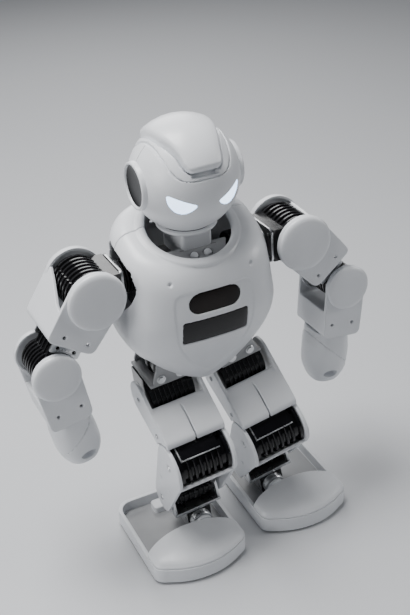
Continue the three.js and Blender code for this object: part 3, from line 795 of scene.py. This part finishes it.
def make_neck():
    y = HEAD[1]
    ring = [(0, 282), (18, 282), (22.6, 283.6), (23.4, 284.8), (23, 286), (21.5, 286.6), (0, 286.6)]
    post = rounded([(-12.5, -19.5), (12.5, -19.5), (14, 14), (-14, 14)], 3)
    neck = modelled("neck_post", [prism(post, "z", 262, 283), lathe(ring, "z", (0, y), 96)])
    finished(bevelled(neck, 0.5), "torso", "white_shell", ["neck_block"], sharp=40)
    gasket = raw("neck_gasket", bar("z", 286.4, 288, 20.6, (0, y), 0.2, 72))
    finished(gasket, "torso", "dark_plastic", sharp=40)


# ---- arms ----
def dome_cap(radius, y, high):
    """A disc with a thick rounded edge and a shallow dome, facing front."""
    profile = [(0, y), (radius - 1, y), (radius, y - 0.8), (radius, y - high * 0.42)]
    profile += [(radius - 0.5, y - high * 0.62), (radius - 1.7, y - high * 0.8)]
    profile += [(radius - 4, y - high * 0.92), (radius * 0.5, y - high), (0, y - high)]
    return lathe(profile, "y", (0, 0), 96)


def screw_ring(reach, y, radius, boss):
    """Four screws round a boss on a rear face."""
    turns = (0.8, 2.37, 3.94, 5.5)
    screws = [socket_screw("y", (reach * math.cos(t), reach * math.sin(t)), y, 1, radius) for t in turns]
    return merged(*screws, boss)


def limb_outline(out, disc, drop, half):
    """The front view of an arm shell: a round top, a straight outer side and a rounded foot."""
    inner = arc(0, 0, disc, 8, 192, 30)
    foot = rounded([(-disc, -4), (-half, -drop), (disc, -drop), (disc, 0)], 6, 8)[9:27]
    return sided(inner + foot, out)


def make_shoulder(side, out):
    where = side + "_shoulder"
    plate = rectangle(-18.8, 18.8, -14.3, 14.3, 5)
    face, back = out * BRACKET_FACE, out * (BRACKET_FACE - BRACKET_THICK)
    horn = bar("x", back + out * 0.1, out * (BRACKET_FACE - BRACKET_THICK * 2), 9, (0, 0), 0.3)
    holes = [bar("x", out * (BRACKET_FACE + 2), out * (BRACKET_FACE - 5), 1.2, at)
             for at in ((14, 9), (-14, 9), (14, -9), (-14, -9))]
    bracket = modelled(side + "_horn_plate", [prism(plate, "x", face, back), horn], holes)
    finished(bevelled(bracket, 0.25), where, "steel", [side + "_shoulder_bracket"], sharp=35)
    low, high = sorted((out * (BRACKET_FACE + GAP), 0))
    tail = block(low, high, -18.8, 18.8, -13.3, 13.3)
    servo = modelled(side + "_shoulder_motor", [tail, finned(*DRUM, fins=7)])
    cut_out(servo, *[block(out * 9 + x - 1, out * 9 + x + 1, -17, 17, 12.4, 14) for x in (-4, 4)])
    finished(servo, where, "black_servo", [side + "_shoulder_servo"], sharp=32)
    make_pitch_servo(side, out)


def make_pitch_servo(side, out):
    """The servo inside the torso that turns the shoulder."""
    start, radius = PITCH_SERVO
    y, z = SHOULDER
    face = SHOULDER_X + BRACKET_FACE - BRACKET_THICK * 2 - GAP
    drum = bar("x", out * start, out * face, radius, SHOULDER, 0.8, 64)
    tail = block(*sorted((out * (start + 0.4), out * (start + 18))), y - 12, y + 8, z - 26, z)
    grooves = [groove("x", SHOULDER, radius, out * s, out * (s + 1.3), 1.1) for s in (51.5, 54.1, 56.7)]
    servo = modelled(side + "_pitch_motor", [drum, tail], grooves)
    finished(bevelled(servo, 0.3), "torso", "black_servo", [side + "_shoulder_pitch_servo"], sharp=32)


def groove(axis, at, radius, start, end, deep):
    """A ring that cuts a groove round a drum."""
    low, high = radius - deep, radius + 1.5
    return lathe([(low, start), (high, start), (high, end), (low, end)], axis, at, 64, closed=True)


def arm_shell(name, out, disc, half_length, drop, half, wall, floor):
    """The two plates of an arm shell with the outer wall between them, hollow above its floor.

    The wall's upper edge is a list of y, z: above it the space between the plates is open.
    """
    inside, far = half_length + GAP, 60
    solid = prism(limb_outline(out, disc, drop, half), "y", -inside - PLATE, inside + PLATE)
    hollow = block(*sorted((out * (disc - PLATE), -out * far)), -inside, inside, floor, far)
    over_wall = prism([(-inside, far)] + wall + [(inside, far)], "x", *sorted((0, out * far)))
    return modelled(name, [solid], [hollow, over_wall])


def make_upper_arm(side, out):
    where = side + "_upper_arm"
    inside = DRUM[1] + GAP
    wall = [(-inside, -17), (-14, -15), (8, -4), (inside, 2)]
    shell = arm_shell(side + "_upper_sleeve", out, SHOULDER_DISC, DRUM[1], UPPER_DROP, 18, wall,
                      2.6 - UPPER_DROP)
    for x in (-10, 10):
        cut_out(shell, *[bar("y", y0, y1, HOLE_RADIUS, (x, HOLE_DROP)) for y0, y1 in ((-40, -15), (15, 40))])
    cut_out(shell, block(-11, 11, -15, 15, -45, -35))
    softened(shell, 0.5, 3, 0.35)
    finished(shell, where, "white_shell", [side + "_upper_arm_shell"])
    cap = raw(side + "_shoulder_dome", dome_cap(SHOULDER_DISC + 0.5, -inside - PLATE - GAP, 5))
    finished(cap, where, "white_shell", [side + "_shoulder_cap"], sharp=60)
    back = inside + PLATE
    ring = [(20.6, back - 5), (22.5, back - 5), (22.8, back - 4.4), (22.8, back - 0.6), (22, back + 0.6)]
    ring += [(20, back + 1.2), (17.6, back + 1.2), (17.2, back - 0.3), (20.6, back - 0.3)]
    rim = raw(side + "_rear_ring", lathe(ring, "y", (0, 0), 80, closed=True))
    finished(rim, where, "white_shell", sharp=50)
    hub = raw(side + "_rear_hub", screw_ring(9, back, 1.9, bar("y", back - 0.5, back + 1, 4.4)))
    finished(hub, where, "steel", sharp=35)
    make_elbow_servo(side, where)


def make_elbow_servo(side, where):
    """The finned elbow drum, its body up into the upper arm, and a bracket plate on each face."""
    radius, end = ELBOW_DRUM
    drum = finned(radius, end, (0, -UPPER_ARM), fins=7)
    top = -UPPER_DROP - GAP
    body = block(-9, 9, -end + 4.6, end - 4.6, -UPPER_ARM, top - 0.1)
    ribs = [block(-10.4, 10.4, y - 0.6, y + 0.6, -UPPER_ARM, -UPPER_DROP - 2) for y in (-12, -6, 0, 6, 12)]
    servo = modelled(side + "_elbow_motor", [body, drum] + ribs)
    finished(servo, where, "black_servo", [side + "_elbow_servo"], sharp=32)
    lug = rectangle(-12.4, 12.4, -50.5, top, 2)
    for y in (-1, 1):
        face = y * (end - 3.2)
        plate = modelled(side + "_elbow_bracket", [prism(lug, "y", face, face + y * 1.4)],
                         [bar("y", face - 3, face + 3, HOLE_RADIUS, (x, -45.8)) for x in (-7, 7)])
        finished(bevelled(plate, 0.2), where, "steel", sharp=35)


def make_forearm(side, out):
    where = side + "_forearm"
    inside = ELBOW_DRUM[1] + GAP
    edge = inside + PLATE
    wall = [(-inside, -21), (inside, -21)]
    shell = arm_shell(side + "_fore_sleeve", out, ELBOW_DISC, ELBOW_DRUM[1], FORE_DROP, 16.5, wall, CUP_TOP)
    for x in (-9.6, 9.6):
        cut_out(shell, *[bar("y", y * 16, y * 40, HOLE_RADIUS, (x, HOLE_DROP)) for y in (-1, 1)])
    softened(shell, 0.5, 4, 0.35)
    finished(shell, where, "white_shell", [side + "_forearm_shell"])
    cap = raw(side + "_elbow_dome", dome_cap(ELBOW_DISC + 0.5, -edge - GAP, 4.6))
    finished(cap, where, "white_shell", [side + "_elbow_cap"], sharp=60)
    hub = raw(side + "_elbow_hub", screw_ring(7, edge, 1.7, bar("y", edge - 0.5, edge + 0.9, 3.6)))
    finished(hub, where, "steel", sharp=35)
    hand = raw(side + "_hand_form", hand_body(0))
    disc = ELBOW_DISC
    rear = [(disc - 1.3, edge - 4.4), (disc + 0.1, edge - 4.4), (disc + 0.4, edge - 4)]
    rear += [(disc + 0.4, edge - 0.6), (disc - 0.4, edge + 0.5), (disc - 3, edge + 0.9)]
    rear += [(disc - 3.4, edge - 0.3), (disc - 1.3, edge - 0.3)]
    ring = raw(side + "_elbow_ring", lathe(rear, "y", (0, 0), 80, closed=True))
    finished(ring, where, "white_shell", sharp=50)
    # a thumb pocket low on the front, and the seam that runs across the hand
    cut_out(hand, ball(1, (-out * 2, -16.4, -83.6), 48, (6.2, 6, 3.9)))
    seam = turned(block(-40, 40, -40, 40, -0.5, 0.5), "Y", 40 * out)
    apply_tool(hand, modelled("skin", [shifted(seam, -out * 4, 0, -61)], [hand_body(0.9)]))
    softened(hand, 0.5, 3, 0.35)
    finished(hand, where, "white_shell", [side + "_hand"])


def hand_body(inset):
    """The closed mitten, or a smaller one that is set in from it."""
    tip = -HAND_TIP
    levels = [(tip, 7.5, -8.5, 7.5), (tip + 1.6, 11, -12, 10.5), (tip + 6, 14, -15, 13),
              (tip + 12, 16.6, -17.6, 16), (tip + 19, 18, -19, 18), (tip + 33, 17.8, -20, 19.6),
              (-56, 17, -20, 20.4), (-50, 16, -19.6, 20.4), (-FORE_DROP - GAP, 15.6, -19.4, 20.4)]
    rows = [(z, half - inset, front + inset, back - inset) for z, half, front, back in levels]
    return loft(rows, 2.6, 72, 44)


# ---- legs ----
def make_hip(side):
    where = side + "_hip"
    x, y, z = FRAMES["torso"].inverted() @ joint_at(side + "_hip_roll")
    radius, front, rear = HIP_ROLL_SERVO
    drum = bar("y", y + front, y + rear, radius, (x, z), 0.8, 64)
    tail = block(x - 9, x + 9, y - 4, y + 16, z, 199)
    rings = [groove("y", (x, z), radius, y + s, y + s + 1.2, 1.1) for s in (-7, -4.6, -2.2, 0.2)]
    servo = modelled(side + "_hip_roll_motor", [drum, tail], rings)
    finished(bevelled(servo, 0.3), "torso", "black_servo", [side + "_hip_roll_servo"], sharp=32)
    drum_radius, half = HIP_DRUM
    bridge = HIP_DROP + drum_radius + 1.1
    cheek = arc(0, 0, 11, 0, 180, 20)
    cheek += [(-15, bridge + 5), (-15, bridge + 0.4), (15, bridge + 0.4), (15, bridge + 5)]
    plates = [prism(cheek, "y", y0, y1) for y0, y1 in ((HIP_FRONT, HIP_FRONT + CHEEK), (24.35, HIP_REAR))]
    top = block(-18, 18, HIP_FRONT, HIP_REAR, bridge, bridge + 2.5)
    bracket = modelled(side + "_hip_cradle", [top] + plates, [bar("y", -20, 40, 2.2, (0, 3))])
    finished(bevelled(bracket, 0.3), where, "grey_plastic", [side + "_hip_bracket"], sharp=35)
    bolts = [hex_bolt(x, -9.6, HIP_FRONT, 2.7, 1.7) for x in (-8.2, 8.2)]
    bolts.append(hex_bolt(0, 3, HIP_FRONT, 2.2, 1.2))
    finished(raw(side + "_hip_bolts", merged(*bolts)), where, "steel", sharp=30)
    body = rectangle(0.4, 25, HIP_DROP - 6, bridge - 0.6, 2)
    fins = finned(drum_radius, half, (0, HIP_DROP), "x", fins=8, valley=1.5)
    motor = modelled(side + "_hip_pitch_motor", [prism(body, "x", -half, half), fins])
    finished(motor, where, "black_servo", [side + "_hip_pitch_servo"], sharp=32)


def make_thigh(side):
    where = side + "_thigh"
    pillow = rounded([(-6, -13), (-7, -50), (-18, -50), (-23.4, -46.5), (-21.8, -30), (-18, -17.5),
                      (-14.5, -13)], 3.6)
    plate = arc(0, 0, 16, 0, 162, 20) + [(-18, -15), (-21, -45), (2, -40)]
    solids = [prism(pillow, "x", -LEG_HALF + 0.6, LEG_HALF - 0.6),
              prism(plate, "x", -LEG_HALF + 0.1, -LEG_HALF + PLATE),
              prism(plate, "x", LEG_HALF - PLATE, LEG_HALF - 0.1)]
    cuts = [bar("x", -40, 40, KNEE_DISC + 1.6, (0, -THIGH), 0.1, 72),
            bar("x", -22, 22, HIP_DRUM[0] + 1.2, (0, 0), 0.1, 72),
            block(-0.6, 0.6, -60, -17.5, -60, -5),
            block(-22.6, 22.6, -11.6, 30, -60, -14)]
    cover = softened(modelled(side + "_thigh_pillow", solids, cuts), 0.5, 5, 0.35)
    finished(cover, where, "white_shell", [side + "_thigh_cover"])
    seam = raw(side + "_thigh_backing", block(-22, 22, -17.6, -13, -45, -20))
    finished(seam, where, "grey_plastic", sharp=30)
    screws = [socket_screw("x", at, s * (LEG_HALF - 0.4), s, 2.1)
              for s in (-1, 1) for at in ((0, 0), (-8, -34))]
    finished(raw(side + "_thigh_screws", merged(*screws)), where, "steel", sharp=30)
    make_knee_servo(side, where)


def make_knee_servo(side, where):
    """A drum with upright ribs, a flat panel above them and a bright edge round the panel."""
    radius, half = KNEE_DRUM
    valley = radius - 2.5
    collar = [(0, half), (radius - 1, half), (radius, half - 0.6), (radius, half - 3), (valley, half - 3.6)]
    profile = [(r, -x) for r, x in collar]
    for x in (-13.6 + 5.3 * k for k in range(6)):
        profile += [(valley, x - 1.3), (radius - 0.6, x - 1.2), (radius, x - 0.6), (radius, x + 0.6)]
        profile += [(radius - 0.6, x + 1.2), (valley, x + 1.3)]
    profile += collar[::-1]
    body = rectangle(-7.5, 13, -THIGH, -20, 1.6)
    panel_side = rounded([(-15, -46.6), (-17.9, -61), (-6, -61), (-6, -46.6)], 0.8)
    solids = [lathe(profile, "x", (0, -THIGH), 72), prism(body, "x", -half + 0.3, half - 0.3),
              prism(panel_side, "x", -18.6, 15)]
    motor = modelled(side + "_knee_motor", solids)
    finished(motor, where, "gloss_black", [side + "_knee_servo"], sharp=32)
    upright = rounded([(-15.2, -46.8), (-18.1, -61.2), (-15.4, -61.2), (-13, -46.8)], 0.3)
    level = rounded([(-18.15, -61.6), (-16, -61.6), (-16, -60.6), (-17.95, -60.6)], 0.3)
    edge = merged(prism(upright, "x", -18.9, -18), prism(level, "x", -18.9, 15.2))
    finished(raw(side + "_knee_rails", edge), where, "steel", sharp=35)


def link_outline(top, drop, bottom):
    lean = math.degrees(math.asin((top - bottom) / drop))
    return arc(0, 0, top, -lean, 180 + lean, 32) + arc(0, -drop, bottom, 180 + lean, 360 - lean, 24)


def make_shin(side):
    where = side + "_shin"
    outline = link_outline(KNEE_DISC, SHIN, ANKLE_DISC)
    band = arc(0, 0, KNEE_DISC + 0.9, 185.4, 255.6, 16) + arc(0, 0, 18.1, 255.6, 185.4, 16)
    solids = [prism(outline, "x", -LEG_HALF, -LEG_HALF + PLATE),
              prism(outline, "x", LEG_HALF - PLATE, LEG_HALF),
              prism(band, "x", -LEG_HALF + 1, LEG_HALF - 1)]
    holes = (((0, 0), 3.4), ((0, -SHIN), 3.4), ((-7, -34), 1.7), ((7, -34), 1.7))
    cuts = [bar("x", s * (LEG_HALF - 0.9), s * 40, radius, at, 0.1, 40)
            for s in (-1, 1) for at, radius in holes]
    shell = softened(modelled(side + "_shin_guard", solids, cuts), 0.5, 4, 0.35)
    finished(shell, where, "white_shell", [side + "_shin_shell"])
    rings, caps = [], []
    for s in (-1, 1):
        face = s * (LEG_HALF - 0.25)
        profile = [(16.4, face - s * 0.5), (16.4, face + s * 0.22), (17.8, face + s * 0.22)]
        profile.append((17.8, face - s * 0.5))
        rings.append(lathe(profile, "x", (0, 0), 80, closed=True))
        caps += [socket_screw("x", at, s * (LEG_HALF - 1), s, 2.6) for at in ((0, 0), (0, -SHIN))]
    finished(raw(side + "_shin_trim", merged(*rings, *caps)), where, "steel", sharp=35)
    radius, half = ANKLE_DRUM
    body = prism(rectangle(-9, 12, -SHIN, -23, 1.6), "x", -half + 0.2, half - 0.2)
    fins = finned(radius, half, (0, -SHIN), "x", fins=7, valley=1.4)
    motor = modelled(side + "_ankle_motor", [body, fins])
    cut_out(motor, *[block(-13, 13, -11, -8.2, z - 0.7, z + 0.7) for z in (-30 - 4.6 * k for k in range(5))])
    finished(motor, where, "gloss_black", [side + "_ankle_servo"], sharp=32)


def make_ankle(side):
    where = side + "_ankle"
    inner, thick = YOKE
    outer = inner + thick
    arm = arc(0, 0, 10, 0, 180, 20) + [(-13.8, -15), (13.8, -15)]
    plates = [prism(arm, "x", s * inner, s * outer) for s in (-1, 1)]
    base = block(-outer, outer, -14, 14, -15.6, -13.2)
    servo = [bar("y", -19, 19, 9.5, (0, ANKLE_DROP), 0.8), block(-11, 11, -13, 19, ANKLE_DROP - 8, -15)]
    holes = [bar("x", -40, 40, HOLE_RADIUS, at) for at in ((-8, -9), (8, -9))]
    yoke = modelled(side + "_ankle_yoke", [base] + plates + servo, holes)
    finished(bevelled(yoke, 0.35), where, "steel", [side + "_ankle_block"], sharp=35)
    front = prism(rectangle(-10.6, 10.6, ANKLE_DROP - 7.6, -17.4, 1.4), "y", -13.4, -12.2)
    finished(raw(side + "_ankle_case", front), where, "black_servo", sharp=35)
    screws = [socket_screw("x", (0, 0), s * (outer - 0.3), s, 3) for s in (-1, 1)]
    screws += [socket_screw("y", (0, ANKLE_DROP), -18.6, -1, 3.4)]
    finished(raw(side + "_ankle_screws", merged(*screws)), where, "steel", sharp=35)


def foot_outline(out, inset, steps=14):
    """The plan of the foot: nearly straight sides, a bowed front, a rounded heel."""
    edges = (-out * (FOOT["inner"] - inset), out * (FOOT["outer"] - inset))
    x0, x1 = min(edges), max(edges)
    front, back = -FOOT["front"] + FOOT["bulge"] + inset, FOOT["back"] - inset
    r = FOOT["corner"] - inset / 2

    def bend(a, b, c):
        return [tuple(Vector(a) * (1 - t) ** 2 + Vector(b) * 2 * t * (1 - t) + Vector(c) * t * t)
                for t in (k / steps for k in range(1, steps + 1))]

    points = [(x0, front + 4)]
    points += bend((x0, front + 4), (x0 + 1, front - 2), (x0 + 9, front - 5))
    middle = ((x0 + x1) / 2, front - 2 * FOOT["bulge"] + 5)
    points += bend((x0 + 9, front - 5), middle, (x1 - 9, front - 5))
    points += bend((x1 - 9, front - 5), (x1 - 1, front - 2), (x1, front + 4))
    points += arc(x1 - r, back - r, r, 0, 90, steps) + arc(x0 + r, back - r, r, 90, 180, steps)
    return points


def toe_pillow(outline, centre, base, high, rings=22):
    """A pillow that stands on an outline: upright at its edge, nearly flat in the middle."""
    n = len(outline)
    verts = [(x, y, base) for x, y in outline]
    for k in range(rings):
        s = 1 - k / rings
        z = base + 1.6 + (high - 1.6) * (1 - s ** 2.5) ** 0.62
        verts += [(centre[0] + (x - centre[0]) * s, centre[1] + (y - centre[1]) * s, z) for x, y in outline]
    verts.append((*centre, base + high))
    faces = [list(range(n))[::-1]]
    for k in range(rings):
        faces += [[k * n + i, k * n + (i + 1) % n, (k + 1) * n + (i + 1) % n, (k + 1) * n + i]
                  for i in range(n)]
    faces += [[rings * n + i, rings * n + (i + 1) % n, len(verts) - 1] for i in range(n)]
    return verts, faces


def make_foot(side, out):
    where = side + "_foot"
    rim = GROUND + FOOT["rim"]
    tray = modelled(side + "_foot_tray", [prism(foot_outline(out, 0), "z", GROUND + SOLE + GAP, rim)],
                    [prism(foot_outline(out, 3.4), "z", GROUND + 6, 30)])
    lug = arc(0, 0, 8, 0, 180, 16) + [(-10, GROUND + 5), (10, GROUND + 5)]
    combine(tray, "UNION", prism(lug, "y", -22, -19.6), prism(lug, "y", 19.6, 22))
    middle = out * (FOOT["outer"] - FOOT["inner"]) / 2
    raised = rectangle(middle - 11, middle + 11, 24, 36, 3)
    combine(tray, "UNION", prism(raised, "z", GROUND + 5, rim - 4))
    softened(tray, 0.55, 3, 0.35)
    finished(tray, where, "white_shell", [side + "_foot_shell"])
    # a grey sheet over the tray's floor: painted shade standing for the dark inside of the white tray
    shade_sheet = raw(side + "_foot_shade_sheet", prism(foot_outline(out, 4.2), "z", GROUND + 5.8, GROUND + 6.6))
    finished(shade_sheet, where, "grey_plastic", sharp=40)
    sole = raw(side + "_foot_sole", prism(foot_outline(out, 2), "z", GROUND, GROUND + SOLE))
    finished(bevelled(sole, 0.4), where, "rubber", [side + "_sole"], sharp=40)
    cover = raw(side + "_toe_shell", toe_pillow(foot_outline(out, 0.5), (middle, -14), rim + GAP, 11.8))
    combine(cover, "UNION", prism(foot_outline(out, 4), "z", rim - 5, rim + 1.5))
    combine(cover, "INTERSECT", bar("z", -60, 60, 109, (middle, -129.6), 0.1, 240))
    softened(cover, 0.5, 3, 0.35)
    finished(cover, where, "white_shell", [side + "_toe_cover"])


# ---- the inside, which shows through the openings ----
def dress(node, slot):
    """A node that keeps its own shape and takes a finish."""
    obj = frame["nodes"][node]
    obj.data.materials.clear()
    obj.data.materials.append(FINISH[slot])


def make_all():
    make_chest()
    make_back()
    make_collar()
    make_head()
    for side, out in SIDES:
        make_shoulder(side, out)
        make_upper_arm(side, out)
        make_forearm(side, out)
        make_hip(side)
        make_thigh(side)
        make_shin(side)
        make_ankle(side)
        make_foot(side, out)
    dress("chassis", "dark_plastic")
    dress("battery_pack", "dark_plastic")
    dress("control_board", "circuit_board")


make_all()


# ---- floor, light, camera ----
def floor_material():
    material = bpy.data.materials.new("pale_floor")
    material.use_nodes = True
    shader = material.node_tree.nodes["Principled BSDF"]
    socket(shader, "Base Color", (0.62, 0.63, 0.65, 1))
    socket(shader, "Roughness", 0.55)
    return material


def make_floor():
    floor = raw("floor", ([(-4, -4, 0), (4, -4, 0), (4, 4, 0), (-4, 4, 0)], [(0, 1, 2, 3)]))
    floor.data.materials.append(floor_material())


def area_light(name, place, target, size, power):
    light = bpy.data.lights.new(name, "AREA")
    light.size = size
    light.energy = power
    lamp = bpy.data.objects.new(name, light)
    lamp.location = place
    lamp.rotation_euler = (Vector(target) - Vector(place)).to_track_quat("-Z", "Y").to_euler()
    bpy.context.scene.collection.objects.link(lamp)


def make_camera():
    turn, tilt, roll = (math.radians(a) for a in (-25.21, 32.61, -2.14))
    across = Vector((math.cos(turn), math.sin(turn), 0))
    backward = Vector((math.sin(turn) * math.cos(tilt), -math.cos(turn) * math.cos(tilt), math.sin(tilt)))
    above = backward.cross(across)
    x = across * math.cos(roll) + above * math.sin(roll)
    y = above * math.cos(roll) - across * math.sin(roll)
    camera = bpy.data.objects.new("camera", bpy.data.cameras.new("camera"))
    placed = Matrix((x, y, backward)).transposed().to_4x4()
    placed.translation = FRAMES["torso"] @ Vector((-298.55, -662.89, 670.72))
    camera.matrix_world = placed
    camera.data.lens = 63.58
    bpy.context.scene.collection.objects.link(camera)
    bpy.context.scene.camera = camera


make_floor()
world = bpy.data.worlds.new("studio")
world.use_nodes = True
socket(world.node_tree.nodes["Background"], "Color", (0.75, 0.8, 0.88, 1))
socket(world.node_tree.nodes["Background"], "Strength", 0.1)
bpy.context.scene.world = world
area_light("key", (-0.25, 0.15, 1.2), (0, 0, 0.25), 0.5, 17)
area_light("left", (-1.1, -0.2, 0.55), (0, 0, 0.2), 0.5, 5)
area_light("right", (1.1, -0.4, 0.6), (0, 0, 0.2), 0.4, 4)
area_light("rear", (0.3, 1.2, 0.9), (0, 0, 0.2), 0.7, 6)
make_camera()
